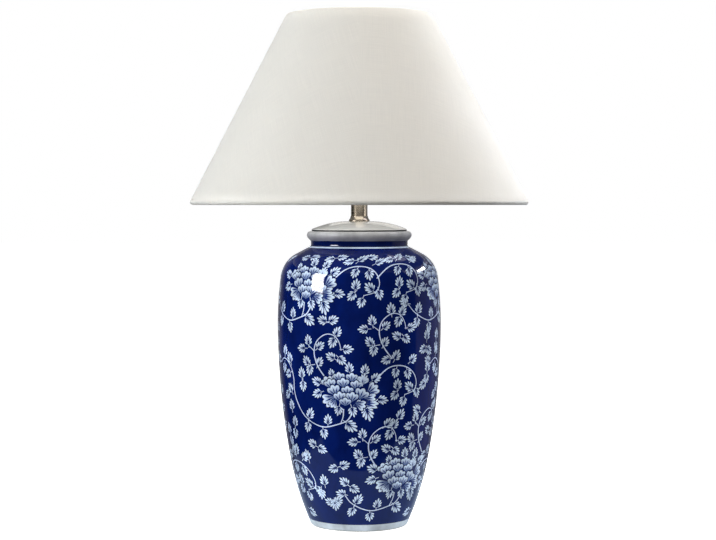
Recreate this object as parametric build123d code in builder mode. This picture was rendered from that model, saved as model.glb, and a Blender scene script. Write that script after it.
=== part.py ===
from build123d import *
from math import atan2, cos, degrees, radians, sin
import os

# Table lamp: a porcelain ginger jar with a lid, a nickel neck, a lampholder and a cone shade.
# Millimetres, +Z up, the table at z = 0, the lamp's axis on Z and its front towards -Y.

# Foot
felt_thickness = 1.0
felt_inset = 2.0  # from the foot ring's sides to the felt
foot_radius = 57.5
foot_ring_width = 9.0
foot_recess = 6.0  # hollow under the floor
floor_thickness = 8.0
foot_rounding = 1.0

# Jar, where each rise is counted from the place below it
band_radius = 60.6  # top of the white foot band
band_height = 8.0
calf_radius = 82.0
calf_rise = 71.0
belly_radius = 97.0  # widest place
belly_rise = 160.0
shoulder_inset = 3.6  # from the belly's radius
shoulder_rise = 56.0
crown_inset = 17.8  # from the shoulder to where it turns into the slope to the neck
crown_rise = 26.5
neck_radius = 57.4
neck_rise = 9.5
neck_length = 6.5
lip_overhang = 5.1  # beyond the neck
lip_height = 11.0
lip_widest = 7.0  # from the lip's underside to its widest place
lip_rounding = 1.0
jar_wall = 6.5

# Cord inlet in the lower back wall
inlet_climb = 18.9  # along the wall, from the white band up to the inlet
inlet_bore = 3.6
inlet_wall = 1.6
inlet_clearance = 0.15
inlet_flange_radius = 8.0
inlet_flange_thickness = 2.0
inlet_sleeve_length = 11.0

# Lid
gasket_thickness = 1.2
gasket_inset = 0.6  # from the lid's edge to the gasket
lid_setback = 5.5  # from the lip's widest place to the lid's edge
lid_edge = 0.8
lid_rise = 9.7
lid_bulge = 2.3  # of the dome above the straight line from edge to land
lid_wall = 6.0
land_radius = 13.5  # flat under the collar
spigot_depth = 10.0
spigot_wall = 4.5
spigot_clearance = 0.8

# Threaded rod and what it clamps
rod_radius = 5.0
rod_bore = 3.4
rod_clearance = 0.4
thread_clearance = 0.05
rod_end = 6.0  # rod below its nut
rubber_margin = 0.5  # from the rubber washer to the edge of the flat above it
rubber_thickness = 2.0
washer_radius = 11.5
washer_thickness = 1.5
nut_across_flats = 17.0
nut_thickness = 5.0

# Neck
collar_radius = 12.3
collar_band = 1.6
collar_height = 6.2
collar_floor = 1.5
collar_edge = 0.5  # wall left at the collar's top
collar_hollow = 0.6  # of the flare behind the straight line
tube_radius = 9.8
tube_wall = 1.2
tube_length = 29.0
tube_clearance = 0.05

# Lampholder casing
hub_height = 7.0
cap_radius = 20.5
cap_dome = 9.0  # from the hub up to where the cap's wall becomes straight
cap_skirt = 9.0
cap_bulge = 2.2
cap_wall = 1.6
grub_radius = 2.0
grub_length = 4.2
slot_width = 0.8  # of the screws' slots
slot_depth = 0.8
seat_width = 2.7  # of the shade's fitter ring that rests on the seat flange
seat_thickness = 3.0
holder_wall = 2.8
holder_length = 36.0
spigot_gap = 2.4  # above the cap's dome
ledge_width = 2.1
ledge_height = 1.0
guard_lip = 1.9
guard_thickness = 1.6
seat_clearance = 0.1

# Lampholder inside
block_thickness = 7.0
cap_clearance = 0.35  # between the bulb's cap and the screw shell
shell_wall = 0.6
shell_rim = 1.75
shell_clearance = 0.8
shell_foot = 0.8  # thickness of the shell's flange and tab
terminal_offset = 9.2  # of each terminal screw from the axis
terminal_radius = 1.5
terminal_head_radius = 2.8
terminal_head_height = 1.8
tab_width = 6.0
tongue_width = 5.0
tongue_thickness = 0.6
tongue_rise = 2.0

# Bulb, with heights above its tip
bulb_radius = 30.0
bulb_length = 106.0
bulb_waist_radius = 19.5
bulb_waist_height = 46.0
bulb_cap_radius = 13.1
bulb_cap_wall = 0.6
bulb_cap_height = 26.0
bulb_cap_turn = 2.0  # rounded-in lower edge of the cap
glass_wall = 1.0
glass_tuck = 8.0  # of the glass inside the cap
glass_clearance = 0.3
tip_radius = 4.8
tip_thickness = 1.5
tip_bore = 0.6  # hole for the lead wire
insulator_radius = 11.0
insulator_height = 3.0
contact_gap = 0.3

# Shade, its wire frame and its clamping ring
shade_bottom_radius = 199.3
shade_top_radius = 86.6
shade_height = 218.2  # between the two places where the edges begin to turn
cover_thickness = 1.0
liner_thickness = 0.6
liner_margin = 8.0  # from the wire rings to the liner's edges
layer_gap = 0.15
wire_radius = 1.75
wire_clearance = 0.6
edge_turn = 150.0  # degrees that the fabric is turned round each wire
fitter_clearance = 0.9
fitter_width = 9.2
fitter_thickness = 2.0
spider_drop = 36.9  # from the fitter ring down to the bottom wire
arm_count = 3
arm_radius = 2.0
arm_straight = 12.0  # level run beside the fitter ring
arm_bend = 14.0
weld_gap = 0.1
shade_ring_wall = 4.6
shade_ring_rim = 3.5  # of its flange beyond the grip
shade_ring_flange = 2.4
shade_ring_height = 8.0
flute_count = 18  # finger flutes round the grip
flute_radius = 1.2
running_clearance = 0.08

# Heights of the stack, from the table up
jar_z = felt_thickness
floor_top = foot_recess + floor_thickness
calf_height = band_height + calf_rise
belly_height = calf_height + belly_rise
shoulder_height = belly_height + shoulder_rise
crown_height = shoulder_height + crown_rise
neck_height = crown_height + neck_rise
lip_base = neck_height + neck_length
gasket_z = jar_z + lip_base + lip_height
lid_z = gasket_z + gasket_thickness
land_rise = lid_edge + lid_rise
land_z = lid_z + land_rise
tube_z = land_z + collar_floor
holder_z = tube_z + tube_length
cap_shoulder = hub_height + cap_dome
cap_height = cap_shoulder + cap_skirt
body_z = holder_z + cap_height
seat_z = body_z + seat_thickness
fitter_z = seat_z + seat_clearance
shade_ring_z = fitter_z + fitter_thickness + seat_clearance
block_z = body_z + ledge_height
contact_z = block_z + block_thickness
bulb_z = contact_z + tongue_rise + tongue_thickness + contact_gap
under_lid_z = land_z - lid_wall
nut_z = under_lid_z - rubber_thickness - washer_thickness - nut_thickness

# Radii that follow from fits, from the jar to the bulb and out to the shade's ring
shoulder_radius = belly_radius - shoulder_inset
crown_radius = shoulder_radius - crown_inset
lip_radius = neck_radius + lip_overhang
lid_radius = lip_radius - lid_setback
mouth_radius = neck_radius - jar_wall
rubber_radius = land_radius - rubber_margin
rod_hole = rod_radius + rod_clearance
rod_thread = rod_radius + thread_clearance
inlet_sleeve = inlet_bore + inlet_wall
bulb_neck_radius = bulb_cap_radius - bulb_cap_wall - glass_clearance
shell_bore = bulb_cap_radius + cap_clearance
shell_outer = shell_bore + shell_wall
shell_flange = shell_outer + shell_rim
holder_bore = shell_flange + shell_clearance
holder_ledge = holder_bore - ledge_width
guard_radius = holder_bore - guard_lip
holder_thread_radius = holder_bore + holder_wall
block_radius = holder_bore - running_clearance
fitter_bore = holder_thread_radius + fitter_clearance
fitter_radius = fitter_bore + fitter_width
seat_radius = fitter_bore + seat_width
shade_ring_grip_radius = holder_thread_radius + shade_ring_wall
shade_ring_radius = shade_ring_grip_radius + shade_ring_rim

os.makedirs("parts", exist_ok=True)


def upright(height):
    """Sketch plane through the axis: x outward, y up, origin on the axis at this height."""
    return Plane(origin=(0, 0, height), x_dir=(1, 0, 0), z_dir=(0, -1, 0))


def save(builder, name):
    """Label a finished piece and write it to its own file."""
    builder.part.label = name
    export_step(builder.part, f"parts/{name}.step")


def ring(height, inner, outer, thickness):
    """Flat ring round the axis."""
    with BuildPart() as flat_ring:
        with BuildSketch(Plane.XY.offset(height)):
            Circle(outer)
            Circle(inner, mode=Mode.SUBTRACT)
        extrude(amount=thickness)
    return flat_ring


# Jar: one outline for the outside and one for the cavity
with BuildLine() as jar_outside:
    calf_arc = TangentArc((belly_radius, belly_height), (calf_radius, calf_height), tangent=(0, -1))
    foot_arc = TangentArc(calf_arc @ 1, (band_radius, band_height), tangent=calf_arc % 1)
    shoulder_arc = TangentArc(
        (belly_radius, belly_height), (shoulder_radius, shoulder_height), tangent=(0, 1)
    )
    crown_arc = TangentArc(shoulder_arc @ 1, (crown_radius, crown_height), tangent=shoulder_arc % 1)
    slope = Line(crown_arc @ 1, (neck_radius, neck_height))

with BuildLine() as jar_inside:
    inner_belly = (belly_radius - jar_wall, belly_height)
    inner_calf_arc = TangentArc(inner_belly, (calf_radius - jar_wall, calf_height), tangent=(0, -1))
    inner_foot_arc = TangentArc(
        inner_calf_arc @ 1, (band_radius - jar_wall, floor_top), tangent=inner_calf_arc % 1
    )
    inner_shoulder_arc = TangentArc(
        inner_belly, (shoulder_radius - jar_wall, shoulder_height), tangent=(0, 1)
    )
    inner_crown_arc = TangentArc(
        inner_shoulder_arc @ 1,
        (crown_radius - jar_wall / 2, crown_height - jar_wall),
        tangent=inner_shoulder_arc % 1,
    )
    inner_slope = Line(inner_crown_arc @ 1, (mouth_radius, neck_height - jar_wall / 2))

# Place and direction of the cord inlet, square to the wall at the back
inlet_share = 1 - inlet_climb / foot_arc.length
inlet_point = foot_arc @ inlet_share
inlet_slope = foot_arc % inlet_share
inlet_plane = Plane(
    origin=(0, inlet_point.X, jar_z + inlet_point.Y),
    x_dir=(1, 0, 0),
    z_dir=(0, -inlet_slope.Y, inlet_slope.X),
)

with BuildPart() as jar:
    with BuildSketch(upright(jar_z)):
        with BuildLine():
            add(jar_outside.line)
            add(jar_inside.line)
            Polyline(
                inner_foot_arc @ 1,
                (0, floor_top),
                (0, foot_recess),
                (foot_radius - foot_ring_width, foot_recess),
                (foot_radius - foot_ring_width, 0),
                (foot_radius, 0),
                (band_radius, band_height),
            )
            Line((neck_radius, neck_height), (neck_radius, lip_base))
            ThreePointArc(
                (neck_radius, lip_base),
                (lip_radius, lip_base + lip_widest),
                (lid_radius, lip_base + lip_height),
            )
            Polyline(
                (lid_radius, lip_base + lip_height),
                (mouth_radius, lip_base + lip_height),
                inner_slope @ 1,
            )
        make_face()
    revolve(axis=Axis.Z)
    foot_edges = jar.edges().filter_by(GeomType.CIRCLE).group_by(Axis.Z)[0]
    fillet(foot_edges, radius=foot_rounding)
    lip_edges = jar.edges().filter_by(GeomType.CIRCLE).group_by(Axis.Z)[-1]
    fillet(lip_edges.sort_by(SortBy.RADIUS)[0], radius=lip_rounding)
    with BuildSketch(inlet_plane.offset(inlet_flange_thickness)):
        Circle(inlet_sleeve + inlet_clearance)
    extrude(amount=-inlet_flange_thickness - inlet_sleeve_length, mode=Mode.SUBTRACT)
save(jar, "jar")

with BuildPart() as inlet_bush:
    with BuildSketch(inlet_plane):
        Circle(inlet_flange_radius)
    extrude(amount=inlet_flange_thickness)
    fillet(inlet_bush.faces().sort_by(Axis.Y)[-1].edges(), radius=inlet_flange_thickness / 2)
    with BuildSketch(inlet_plane):
        Circle(inlet_sleeve)
    extrude(amount=-inlet_sleeve_length)
    with BuildSketch(inlet_plane.offset(inlet_flange_thickness)):
        Circle(inlet_bore)
    extrude(amount=-inlet_flange_thickness - inlet_sleeve_length, mode=Mode.SUBTRACT)
save(inlet_bush, "inlet_bush")

felt_inner = foot_radius - foot_ring_width + felt_inset
foot_felt = ring(0, felt_inner, foot_radius - felt_inset, felt_thickness)
save(foot_felt, "foot_felt")

# Lid and its gasket
lid_gasket = ring(gasket_z, mouth_radius + lip_rounding, lid_radius - gasket_inset, gasket_thickness)
save(lid_gasket, "lid_gasket")

with BuildPart() as jar_lid:
    spigot_radius = mouth_radius - spigot_clearance
    with BuildSketch(upright(lid_z)):
        with BuildLine():
            SagittaArc((land_radius, land_rise), (lid_radius, lid_edge), lid_bulge)
            Polyline(
                (lid_radius, lid_edge),
                (lid_radius, 0),
                (spigot_radius, 0),
                (spigot_radius, -spigot_depth),
                (spigot_radius - spigot_wall, -spigot_depth),
                (spigot_radius - spigot_wall, 0),
            )
            SagittaArc((land_radius, land_rise - lid_wall), (spigot_radius - spigot_wall, 0), lid_bulge)
            Polyline(
                (land_radius, land_rise - lid_wall),
                (rod_hole, land_rise - lid_wall),
                (rod_hole, land_rise),
                (land_radius, land_rise),
            )
        make_face()
    revolve(axis=Axis.Z)
save(jar_lid, "jar_lid")

# Threaded rod with its washers and nut under the lid
rod_length = holder_z + hub_height - nut_z + rod_end
threaded_rod = ring(nut_z - rod_end, rod_bore, rod_radius, rod_length)
save(threaded_rod, "threaded_rod")

rubber_washer = ring(under_lid_z - rubber_thickness, rod_hole, rubber_radius, rubber_thickness)
save(rubber_washer, "rubber_washer")

rod_washer = ring(nut_z + nut_thickness, rod_hole, washer_radius, washer_thickness)
save(rod_washer, "rod_washer")

with BuildPart() as rod_nut:
    with BuildSketch(Plane.XY.offset(nut_z)):
        RegularPolygon(nut_across_flats / 2, 6, major_radius=False)
        Circle(rod_thread, mode=Mode.SUBTRACT)
    extrude(amount=nut_thickness)
save(rod_nut, "rod_nut")

# Nickel collar and neck tube
tube_socket = tube_radius + tube_clearance
with BuildPart() as neck_collar:
    with BuildSketch(upright(land_z)):
        with BuildLine():
            Polyline(
                (tube_socket + collar_edge, collar_height),
                (tube_socket, collar_height),
                (tube_socket, collar_floor),
                (rod_hole, collar_floor),
                (rod_hole, 0),
                (collar_radius, 0),
                (collar_radius, collar_band),
            )
            SagittaArc(
                (collar_radius, collar_band), (tube_socket + collar_edge, collar_height), collar_hollow
            )
        make_face()
    revolve(axis=Axis.Z)
save(neck_collar, "neck_collar")

neck_tube = ring(tube_z, tube_radius - tube_wall, tube_radius, tube_length)
save(neck_tube, "neck_tube")

# Lampholder cap: a hub on the rod that opens into a dome, locked by a grub screw at the back
grub_plane = Plane(
    origin=(0, rod_thread, holder_z + hub_height / 2), x_dir=(1, 0, 0), z_dir=(0, 1, 0)
)
with BuildPart() as holder_cap:
    cap_inner = cap_radius - cap_wall
    hub_top = hub_height + cap_wall
    with BuildSketch(upright(holder_z)):
        with BuildLine():
            Polyline((rod_thread, hub_top), (rod_thread, 0), (tube_radius, 0), (tube_radius, hub_height))
            SagittaArc((tube_radius, hub_height), (cap_radius, cap_shoulder), -cap_bulge)
            Polyline(
                (cap_radius, cap_shoulder),
                (cap_radius, cap_height),
                (cap_inner, cap_height),
                (cap_inner, cap_shoulder + cap_wall),
            )
            SagittaArc((tube_radius, hub_top), (cap_inner, cap_shoulder + cap_wall), -cap_bulge)
            Line((tube_radius, hub_top), (rod_thread, hub_top))
        make_face()
    revolve(axis=Axis.Z)
    with BuildSketch(grub_plane):
        Circle(grub_radius + thread_clearance)
    extrude(amount=tube_radius, mode=Mode.SUBTRACT)
save(holder_cap, "holder_cap")

with BuildPart() as holder_grub_screw:
    with BuildSketch(grub_plane):
        Circle(grub_radius)
    extrude(amount=grub_length)
    with BuildSketch(grub_plane.offset(grub_length)):
        Rectangle(2 * grub_radius, slot_width)
    extrude(amount=-slot_depth, mode=Mode.SUBTRACT)
save(holder_grub_screw, "holder_grub_screw")

# Lampholder body: spigot in the cap, seat flange for the shade, thread, and a guard lip at its mouth
with BuildPart() as holder_body:
    cap_fit = cap_radius - cap_wall - running_clearance
    holder_spigot = cap_skirt - cap_wall - spigot_gap
    with BuildSketch(upright(body_z)):
        Polygon(
            (holder_ledge, -holder_spigot),
            (cap_fit, -holder_spigot),
            (cap_fit, 0),
            (seat_radius, 0),
            (seat_radius, seat_thickness),
            (holder_thread_radius, seat_thickness),
            (holder_thread_radius, holder_length),
            (guard_radius, holder_length),
            (guard_radius, holder_length - guard_thickness),
            (holder_bore, holder_length - guard_thickness),
            (holder_bore, ledge_height),
            (holder_ledge, ledge_height),
            align=None,
        )
    revolve(axis=Axis.Z)
save(holder_body, "holder_body")

# Insulating block on the body's ledge, with the two contacts on top and a screw for each
terminal_places = [(-terminal_offset, 0), (terminal_offset, 0)]
terminal_hole = terminal_radius + running_clearance

with BuildPart() as contact_block:
    with BuildSketch(Plane.XY.offset(block_z)):
        Circle(block_radius)
        with Locations(terminal_places):
            Circle(terminal_hole, mode=Mode.SUBTRACT)
    extrude(amount=block_thickness)
save(contact_block, "contact_block")

with BuildPart() as screw_shell:
    shell_length = body_z + holder_length - guard_thickness - contact_z - running_clearance
    with BuildSketch(Plane.XY.offset(contact_z)):
        Circle(shell_flange)
        Circle(shell_bore, mode=Mode.SUBTRACT)
        tab_end = terminal_offset - tab_width / 2
        with Locations(((tab_end + shell_outer) / 2, 0)):
            Rectangle(shell_outer - tab_end, tab_width)
        with Locations(terminal_places[1]):
            Circle(terminal_hole, mode=Mode.SUBTRACT)
    extrude(amount=shell_foot)
    with BuildSketch(Plane.XY.offset(contact_z)):
        Circle(shell_outer)
        Circle(shell_bore, mode=Mode.SUBTRACT)
    extrude(amount=shell_length)
save(screw_shell, "screw_shell")

with BuildPart() as centre_contact:
    tongue_middle = contact_z + tongue_thickness / 2
    with BuildSketch(upright(tongue_middle)):
        with BuildLine():
            Polyline(
                (-terminal_offset - tongue_width / 2, 0),
                (-terminal_offset + tongue_width / 2, 0),
                (-tip_radius / 2, tongue_rise),
                (tip_radius / 2, tongue_rise),
            )
        trace(line_width=tongue_thickness)
    extrude(amount=tongue_width / 2, both=True)
    with BuildSketch(Plane.XY.offset(contact_z)):
        with Locations(terminal_places[0]):
            Circle(terminal_hole)
    extrude(amount=tongue_thickness, mode=Mode.SUBTRACT)
save(centre_contact, "centre_contact")

with BuildPart() as terminal_screws:
    with BuildSketch(Plane.XY.offset(block_z - terminal_head_height)):
        with Locations(terminal_places):
            Circle(terminal_head_radius)
    extrude(amount=terminal_head_height)
    with BuildSketch(Plane.XY.offset(block_z)):
        with Locations(terminal_places):
            Circle(terminal_radius)
    extrude(amount=block_thickness + tongue_thickness)
    with BuildSketch(Plane.XY.offset(block_z - terminal_head_height)):
        with Locations(terminal_places):
            Rectangle(slot_width, 2 * terminal_head_radius)
    extrude(amount=slot_depth, mode=Mode.SUBTRACT)
save(terminal_screws, "terminal_screws")

# Bulb: tip, insulator, screw cap and glass
bulb_tip = ring(bulb_z, tip_bore, tip_radius, tip_thickness)
save(bulb_tip, "bulb_tip")

cap_base = tip_thickness + insulator_height
with BuildPart() as bulb_insulator:
    with BuildSketch(Plane.XY.offset(bulb_z + tip_thickness)):
        Circle(tip_radius)
    with BuildSketch(Plane.XY.offset(bulb_z + cap_base)):
        Circle(insulator_radius)
    loft(ruled=True)
save(bulb_insulator, "bulb_insulator")

with BuildPart() as bulb_cap:
    cap_bore = bulb_cap_radius - bulb_cap_wall
    with BuildSketch(upright(bulb_z)):
        Polygon(
            (insulator_radius - bulb_cap_wall, cap_base),
            (insulator_radius, cap_base),
            (bulb_cap_radius, cap_base + bulb_cap_turn),
            (bulb_cap_radius, bulb_cap_height),
            (cap_bore, bulb_cap_height),
            (cap_bore, cap_base + bulb_cap_turn),
            align=None,
        )
    revolve(axis=Axis.Z)
save(bulb_cap, "bulb_cap")


def glass_outline(inset):
    """Half of the bulb's outline from its neck to its top, moved in by a wall thickness."""
    centre_height = bulb_length - bulb_radius
    with BuildLine() as outline:
        crown = TangentArc((bulb_radius - inset, centre_height), (0, bulb_length - inset), tangent=(0, 1))
        side = TangentArc(crown @ 0, (bulb_waist_radius - inset, bulb_waist_height), tangent=(0, -1))
        neck_top = (bulb_neck_radius - inset, bulb_cap_height)
        TangentArc(side @ 1, neck_top, tangent=side % 1)
        Line(neck_top, (bulb_neck_radius - inset, bulb_cap_height - glass_tuck))
    return outline.line


with BuildPart() as bulb_glass:
    with BuildSketch(upright(bulb_z)):
        with BuildLine():
            add(glass_outline(0))
            add(glass_outline(glass_wall))
            Line((0, bulb_length - glass_wall), (0, bulb_length))
            tuck_height = bulb_cap_height - glass_tuck
            Line((bulb_neck_radius - glass_wall, tuck_height), (bulb_neck_radius, tuck_height))
        make_face()
    revolve(axis=Axis.Z)
save(bulb_glass, "bulb_glass")

# Shade: the cone's slope, and the wire at each edge with the fabric turned round it
slope_angle = atan2(shade_bottom_radius - shade_top_radius, shade_height)
outward = Vector(cos(slope_angle), sin(slope_angle))
along = Vector(-sin(slope_angle), cos(slope_angle))
turn_radius = wire_radius + wire_clearance + cover_thickness / 2
fitter_middle = fitter_z + fitter_thickness / 2
bottom_wire_z = fitter_middle - spider_drop
bottom_edge = Vector(shade_bottom_radius, turn_radius * outward.Y)
top_edge = Vector(shade_top_radius, bottom_edge.Y + shade_height)
bottom_wire = bottom_edge - outward * turn_radius
top_wire = top_edge - outward * turn_radius


def turned_edge(wire, turn):
    """Outline of fabric bent round a wire, from the cone's wall through this many degrees."""
    start = degrees(slope_angle)
    inner = turn_radius - cover_thickness / 2
    outer = turn_radius + cover_thickness / 2
    with BuildLine() as outline:
        inner_arc = CenterArc(wire, inner, start, turn)
        outer_arc = CenterArc(wire, outer, start, turn)
        Line(inner_arc @ 0, outer_arc @ 0)
        Line(inner_arc @ 1, outer_arc @ 1)
    return outline.edges()


with BuildPart() as shade_cover:
    with BuildSketch(upright(bottom_wire_z)):
        half_wall = outward * (cover_thickness / 2)
        Polygon(
            bottom_edge - half_wall,
            bottom_edge + half_wall,
            top_edge + half_wall,
            top_edge - half_wall,
            align=None,
        )
        make_face(turned_edge(bottom_wire, -edge_turn))
        make_face(turned_edge(top_wire, edge_turn))
    revolve(axis=Axis.Z)
save(shade_cover, "shade_cover")

with BuildPart() as shade_liner:
    with BuildSketch(upright(bottom_wire_z)):
        liner_face = outward * (cover_thickness / 2 + layer_gap)
        liner_back = liner_face + outward * liner_thickness
        liner_start = along * liner_margin
        Polygon(
            bottom_edge - liner_back + liner_start,
            bottom_edge - liner_face + liner_start,
            top_edge - liner_face - liner_start,
            top_edge - liner_back - liner_start,
            align=None,
        )
    revolve(axis=Axis.Z)
save(shade_liner, "shade_liner")

for wire_name, wire in (("bottom_wire_ring", bottom_wire), ("top_wire_ring", top_wire)):
    with BuildPart() as wire_ring:
        with BuildSketch(upright(bottom_wire_z)):
            with Locations(wire):
                Circle(wire_radius)
        revolve(axis=Axis.Z)
    save(wire_ring, wire_name)

fitter_ring = ring(fitter_z, fitter_bore, fitter_radius, fitter_thickness)
save(fitter_ring, "fitter_ring")

# Spider arms: level beside the fitter ring, then down to the inside of the bottom wire
arm_start = Vector(fitter_radius + weld_gap, spider_drop)
arm_corner = Vector(fitter_radius + arm_straight, spider_drop)
arm_direction = (arm_corner - bottom_wire).normalized()
arm_end = bottom_wire + arm_direction * (wire_radius + weld_gap)
arm_route = [(point.X, point.Y) for point in (arm_start, arm_corner, arm_end)]
for index in range(arm_count):
    turn = radians(90 + index * 360 / arm_count)
    arm_plane = Plane(
        origin=(0, 0, bottom_wire_z), x_dir=(cos(turn), sin(turn), 0), z_dir=(sin(turn), -cos(turn), 0)
    )
    with BuildPart() as spider_arm:
        with BuildLine(arm_plane) as arm_path:
            FilletPolyline(arm_route, radius=arm_bend)
        with BuildSketch(Plane(origin=arm_path.line @ 0, z_dir=arm_path.line % 0)):
            Circle(arm_radius)
        sweep(path=arm_path.line)
    save(spider_arm, f"spider_arm_{index + 1}")

# Ring nut that clamps the fitter ring on its seat
with BuildPart() as shade_ring:
    with BuildSketch(upright(shade_ring_z)):
        nut_bore = holder_thread_radius + running_clearance
        Polygon(
            (nut_bore, 0),
            (shade_ring_radius, 0),
            (shade_ring_radius, shade_ring_flange),
            (shade_ring_grip_radius, shade_ring_flange),
            (shade_ring_grip_radius, shade_ring_height),
            (nut_bore, shade_ring_height),
            align=None,
        )
    revolve(axis=Axis.Z)
    with BuildSketch(Plane.XY.offset(shade_ring_z + shade_ring_flange)):
        with PolarLocations(shade_ring_grip_radius, flute_count):
            Circle(flute_radius)
    extrude(amount=shade_ring_height, mode=Mode.SUBTRACT)
save(shade_ring, "shade_ring")
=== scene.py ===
import random
from cmath import phase
from math import atan2, ceil, cos, hypot, pi, radians, sin

import bpy
import numpy as np
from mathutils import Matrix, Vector
from mathutils.geometry import delaunay_2d_cdt


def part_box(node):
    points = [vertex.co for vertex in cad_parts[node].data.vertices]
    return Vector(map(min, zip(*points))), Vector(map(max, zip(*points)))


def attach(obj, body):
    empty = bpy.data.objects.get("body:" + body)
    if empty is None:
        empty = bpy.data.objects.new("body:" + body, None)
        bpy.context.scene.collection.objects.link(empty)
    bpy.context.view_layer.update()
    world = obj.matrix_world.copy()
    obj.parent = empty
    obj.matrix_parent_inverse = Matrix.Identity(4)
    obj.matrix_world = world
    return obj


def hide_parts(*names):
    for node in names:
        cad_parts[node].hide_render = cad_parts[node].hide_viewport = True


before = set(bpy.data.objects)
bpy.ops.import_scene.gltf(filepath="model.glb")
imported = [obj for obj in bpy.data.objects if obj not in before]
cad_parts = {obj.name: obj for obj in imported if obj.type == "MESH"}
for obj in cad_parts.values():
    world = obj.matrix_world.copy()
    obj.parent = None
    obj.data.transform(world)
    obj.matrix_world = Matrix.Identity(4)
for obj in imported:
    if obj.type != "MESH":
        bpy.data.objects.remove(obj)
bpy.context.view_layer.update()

mm = 0.001

# Jar sizes, as in the solids: radius and height of each place on its outline
FOOT = (57.5 * mm, 1.0 * mm)
FOOT_INSIDE = (48.5 * mm, 7.0 * mm)
BAND = (60.6 * mm, 9.0 * mm)
CALF = (82.0 * mm, 80.0 * mm)
BELLY = (97.0 * mm, 240.0 * mm)
SHOULDER = (93.4 * mm, 296.0 * mm)
CROWN = (75.6 * mm, 322.5 * mm)
NECK = (57.4 * mm, 332.0 * mm)
LIP_BASE = 338.5 * mm
LIP_WIDEST = (62.5 * mm, 345.5 * mm)
LIP_TOP = (57.0 * mm, 349.5 * mm)
LIP_BULGES = (1.2 * mm, 1.3 * mm)  # below and above its widest place
JAR_WALL = 6.5 * mm
JAR_FLOOR = 15.0 * mm
INLET_PLACE = (67.462 * mm, 26.608 * mm)
INLET_HOLE = 5.35 * mm
INLET_POINTS = 32
GLAZE_ROUNDING = 1.4 * mm

# Heights of the white line painted round the neck
WHITE_LINE = (330.1 * mm, 331.7 * mm)

# Colours as they look in daylight, red, green and blue from 0 to 255
COBALT = (5, 25, 91)
# Cobalt darkened with painted shade, for the neck band under the lip
SHADED_NECK_COBALT = (4, 17, 64)
COBALT_WASH = (44, 66, 150)
COBALT_LINE = (14, 28, 84)
BRUSH_WHITE = (220, 236, 255)
BRUSH_BLUE = (180, 200, 236)
PETAL_BLUE = (92, 114, 168)
VINE_WHITE = (216, 229, 254)
# The lip is one pale glaze, painted with shade: grey at its base and white as a painted highlight at
# its top
LIP_LIT_WHITE = (236, 235, 233)
LIP_SHADED_GREY = (124, 121, 130)
FOOT_WHITE = (204, 213, 222)
LID_WHITE = (236, 234, 229)
NICKEL = (214, 202, 184)
LINEN = (235, 225, 213)
SATIN = 0.0  # alpha of paint left without the clear glaze
LIP_SHADE_FADE = 1.5  # how slowly the lip's painted shade at its base gives way to its painted highlight at its top


def linear(colour):
    """Linear red, green, blue and full alpha of a colour given from 0 to 255."""
    shares = np.array(colour) / 255
    return (*np.where(shares <= 0.04045, shares / 12.92, ((shares + 0.055) / 1.055) ** 2.4), 1.0)


# Outlines of turned pieces


def tangent_arc(start, heading, end, steps=32):
    """Points on the arc that leaves start at a heading and reaches end, and its last heading."""
    span = complex(*end) - complex(*start)
    bend = phase(span) - heading
    shares = np.linspace(0, 1, steps + 1)
    reach = abs(span) * np.sin(bend * shares) / sin(bend)
    points = complex(*start) + reach * np.exp(1j * (heading + bend * shares))
    return [(p.real, p.imag) for p in points], heading + 2 * bend


def bulged_arc(start, end, bulge):
    """Points on the arc from start to end that stands out to the right of its chord."""
    span = complex(*end) - complex(*start)
    return tangent_arc(start, phase(span) - 2 * atan2(2 * bulge, abs(span)), end)[0]


def distances(points):
    """Distance of each point along a line of points."""
    return np.concatenate([[0], np.cumsum(np.hypot(*np.diff(points, axis=0).T))])


class Outline:
    """Half section of a turned piece, its solid on the left: radius, height and normal along it."""

    def __init__(self, points, rounding, closed=False, step=0.2 * mm):
        points = np.array(points + points[:1] if closed else points)
        along = distances(points)
        even = np.linspace(0, along[-1], ceil(along[-1] / step) + 1)
        path = np.column_stack([np.interp(even, along, points[:, k]) for k in (0, 1)])
        reach = round(rounding / step)
        for _ in range(2 if reach else 0):
            if closed:
                padded = np.concatenate([path[-reach - 1 : -1], path, path[1 : reach + 1]])
            else:
                padded = np.pad(path, ((reach, reach), (0, 0)), "reflect", reflect_type="odd")
            kernel = np.full(2 * reach + 1, 1 / (2 * reach + 1))
            path = np.column_stack([np.convolve(padded[:, k], kernel, "valid") for k in (0, 1)])
        self.radius = np.maximum(path[:, 0], 0)
        self.height = path[:, 1]
        self.along = distances(path)
        slope = np.gradient(path, axis=0)
        if closed:
            slope[0] = slope[-1] = path[1] - path[-2]
        slope /= np.hypot(*slope.T)[:, None]
        self.out = slope[:, 1]
        self.up = -slope[:, 0]

    def at(self, along):
        """Radius, height and the normal's two parts at distances along the outline."""
        values = (self.radius, self.height, self.out, self.up)
        return [np.interp(along, self.along, value) for value in values]

    def rows(self, longest, turn=radians(7)):
        """Distances along the outline, closer together where it bends."""
        heading = np.unwrap(np.arctan2(self.up, self.out))
        kept = [0]
        for i in range(1, len(self.along)):
            far = self.along[i] - self.along[kept[-1]] > longest
            if far or abs(heading[i] - heading[kept[-1]]) > turn:
                kept.append(i)
        if kept[-1] != len(self.along) - 1:
            kept.append(len(self.along) - 1)
        return self.along[kept]


# Mesh building

WELD_DIGITS = 7  # points closer than a ten-thousandth of a millimetre are one
NO_AREA = 1e-12


def round_axis(angle, radius, height):
    """Points at angles round the axis, counted from the front towards the right."""
    return np.stack([radius * np.sin(angle), -radius * np.cos(angle), height], axis=-1)


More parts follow.
